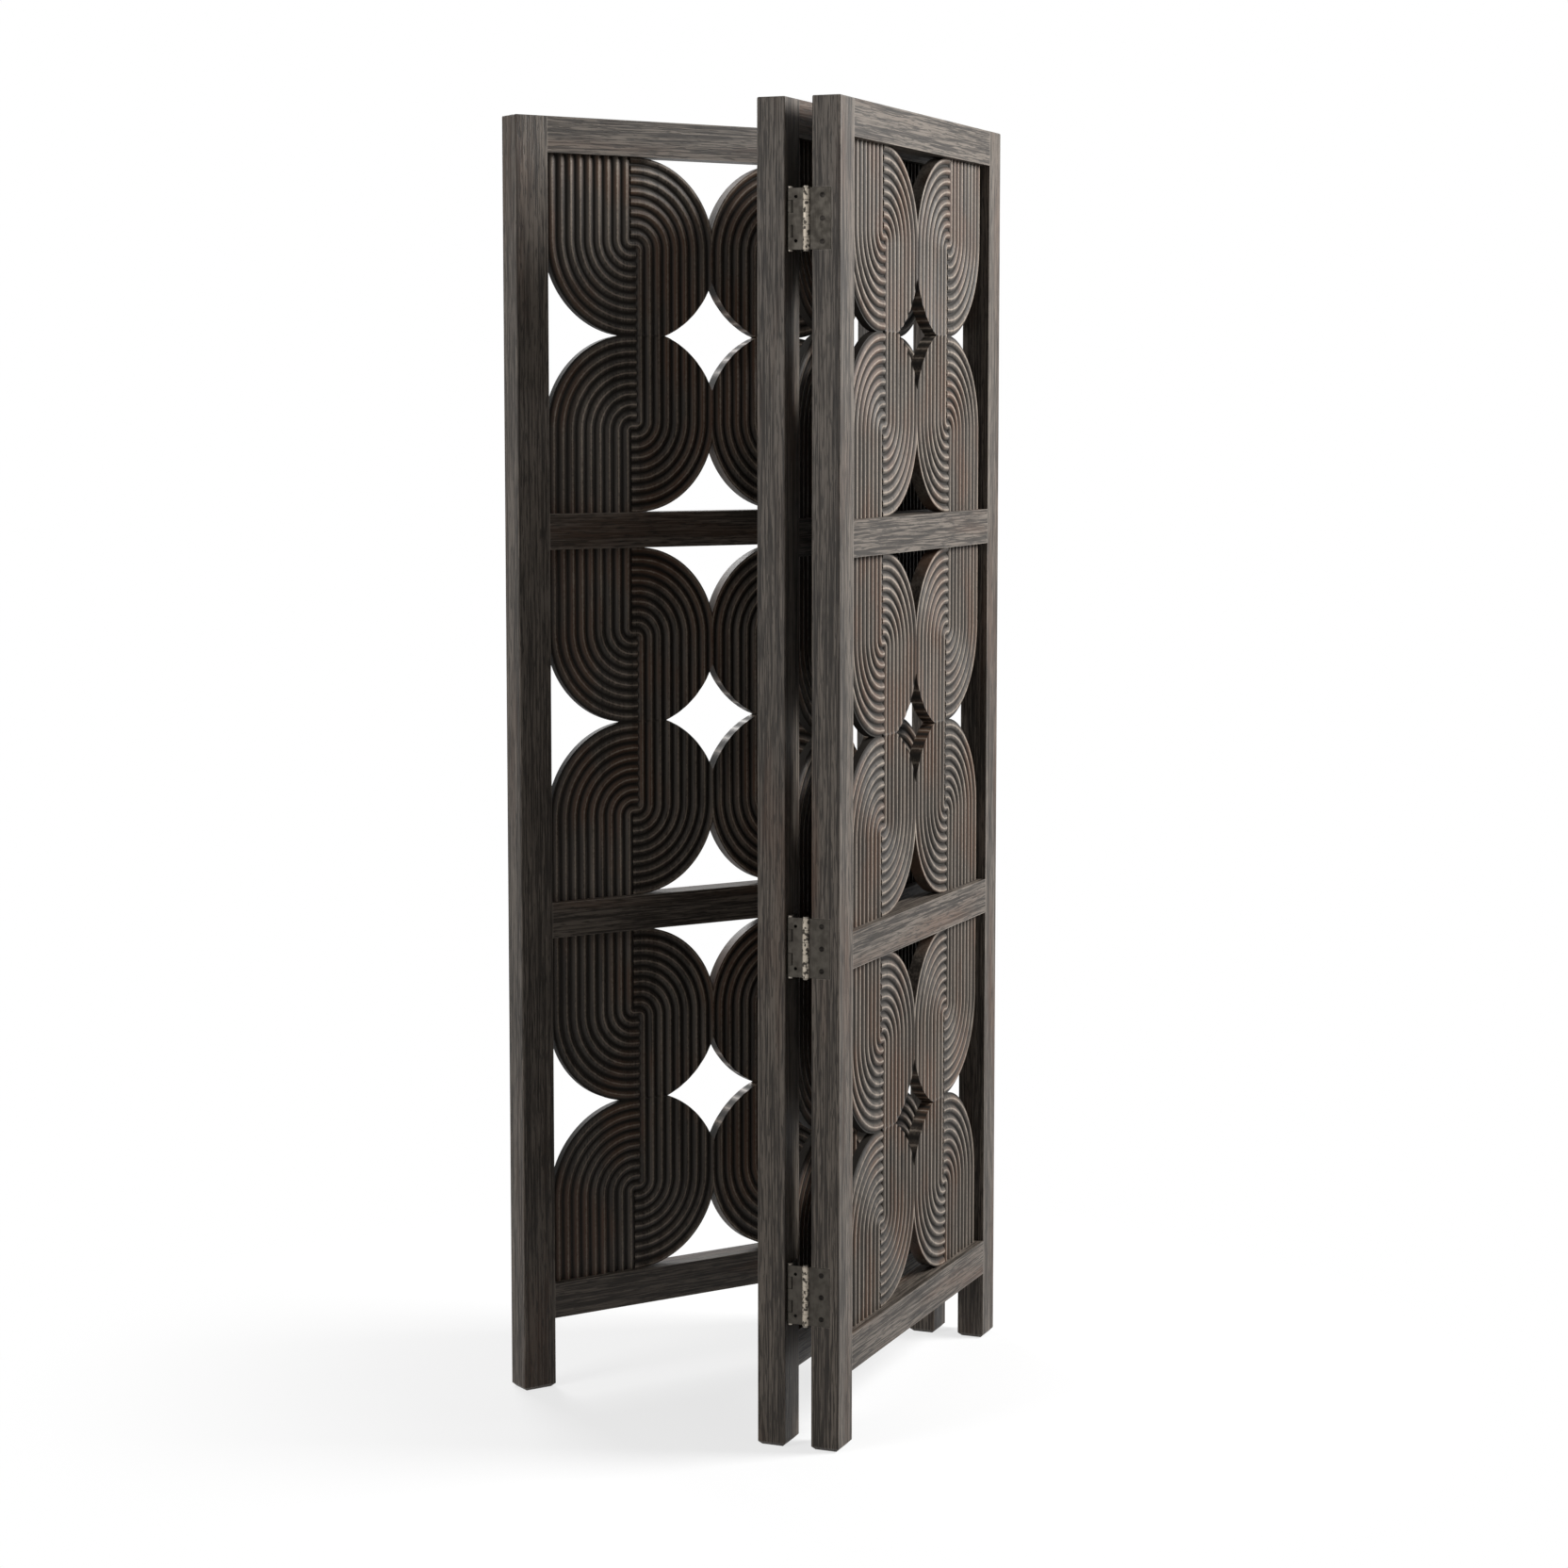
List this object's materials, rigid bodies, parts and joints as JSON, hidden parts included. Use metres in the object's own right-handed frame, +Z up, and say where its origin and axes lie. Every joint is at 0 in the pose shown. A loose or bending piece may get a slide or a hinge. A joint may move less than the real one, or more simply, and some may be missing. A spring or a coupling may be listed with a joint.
{
  "type": "folding screen",
  "caption": "Folding screen of ladder-frame panels on double-acting hinges, with reeded discs carved in see-through slabs in every bay.",
  "frame": {"origin": "centre of the underside of the middle panel's front foot, on the floor", "axes": "+Z up; +X along the middle panel from its front edge to its back edge; +Y towards the side that the left panel fans out on"},
  "size_m": [0.6552, 0.5479, 1.8],
  "materials": {
    "frame_wood": "charcoal-stained open-grain oak, matt",
    "carved_wood": "charcoal-stained carved oak, worn on the crests",
    "hinge_steel": "dark antiqued steel plate",
    "hinge_barrel": "worn steel pins",
    "screw_steel": "blackened countersunk screws"
  },
  "bodies": {
    "middle_panel": {"middle_back_stile": "frame_wood", "middle_bottom_rail": "frame_wood", "middle_front_stile": "frame_wood", "middle_lower_carving": "carved_wood", "middle_lower_rail": "frame_wood", "middle_middle_carving": "carved_wood", "middle_top_rail": "frame_wood", "middle_upper_carving": "carved_wood", "middle_upper_rail": "frame_wood", "front_bottom_face_leaf": "hinge_steel", "front_face_screws": "screw_steel", "front_middle_face_leaf": "hinge_steel", "front_top_face_leaf": "hinge_steel", "back_bottom_face_leaf": "hinge_steel", "back_face_screws": "screw_steel", "back_middle_face_leaf": "hinge_steel", "back_top_face_leaf": "hinge_steel"},
    "front_link": {"front_bottom_link_plate": "hinge_steel", "front_inner_pins": "hinge_barrel", "front_middle_link_plate": "hinge_steel", "front_top_link_plate": "hinge_steel"},
    "right_panel": {"right_bottom_rail": "frame_wood", "right_free_stile": "frame_wood", "right_hinge_stile": "frame_wood", "right_lower_carving": "carved_wood", "right_lower_rail": "frame_wood", "right_middle_carving": "carved_wood", "right_top_rail": "frame_wood", "right_upper_carving": "carved_wood", "right_upper_rail": "frame_wood", "front_bottom_edge_leaf": "hinge_steel", "front_edge_screws": "screw_steel", "front_middle_edge_leaf": "hinge_steel", "front_outer_pins": "hinge_barrel", "front_top_edge_leaf": "hinge_steel"},
    "back_link": {"back_bottom_link_plate": "hinge_steel", "back_inner_pins": "hinge_barrel", "back_middle_link_plate": "hinge_steel", "back_top_link_plate": "hinge_steel"},
    "left_panel": {"left_bottom_rail": "frame_wood", "left_free_stile": "frame_wood", "left_hinge_stile": "frame_wood", "left_lower_carving": "carved_wood", "left_lower_rail": "frame_wood", "left_middle_carving": "carved_wood", "left_top_rail": "frame_wood", "left_upper_carving": "carved_wood", "left_upper_rail": "frame_wood", "back_bottom_edge_leaf": "hinge_steel", "back_edge_screws": "screw_steel", "back_middle_edge_leaf": "hinge_steel", "back_outer_pins": "hinge_barrel", "back_top_edge_leaf": "hinge_steel"}
  },
  "joints": [
    {"name": "front_inner_hinge", "type": "hinge", "parent": "middle_panel", "child": "front_link", "pos_m": [-0.0169, -0.0248, 0.9], "axis": [0, 0, -1], "range_deg": [0, 60]},
    {"name": "front_outer_hinge", "type": "hinge", "parent": "front_link", "child": "right_panel", "pos_m": [-0.0217, -0.0486, 0.9], "axis": [0, 0, -1], "range_deg": [0, 117.5]},
    {"name": "back_inner_hinge", "type": "hinge", "parent": "middle_panel", "child": "back_link", "pos_m": [0.6169, 0.0248, 0.9], "axis": [0, 0, -1], "range_deg": [0, 60]},
    {"name": "back_outer_hinge", "type": "hinge", "parent": "back_link", "child": "left_panel", "pos_m": [0.60347, 0.04502, 0.9], "axis": [0, 0, -1], "range_deg": [-32.5, 80.5]}
  ]
}
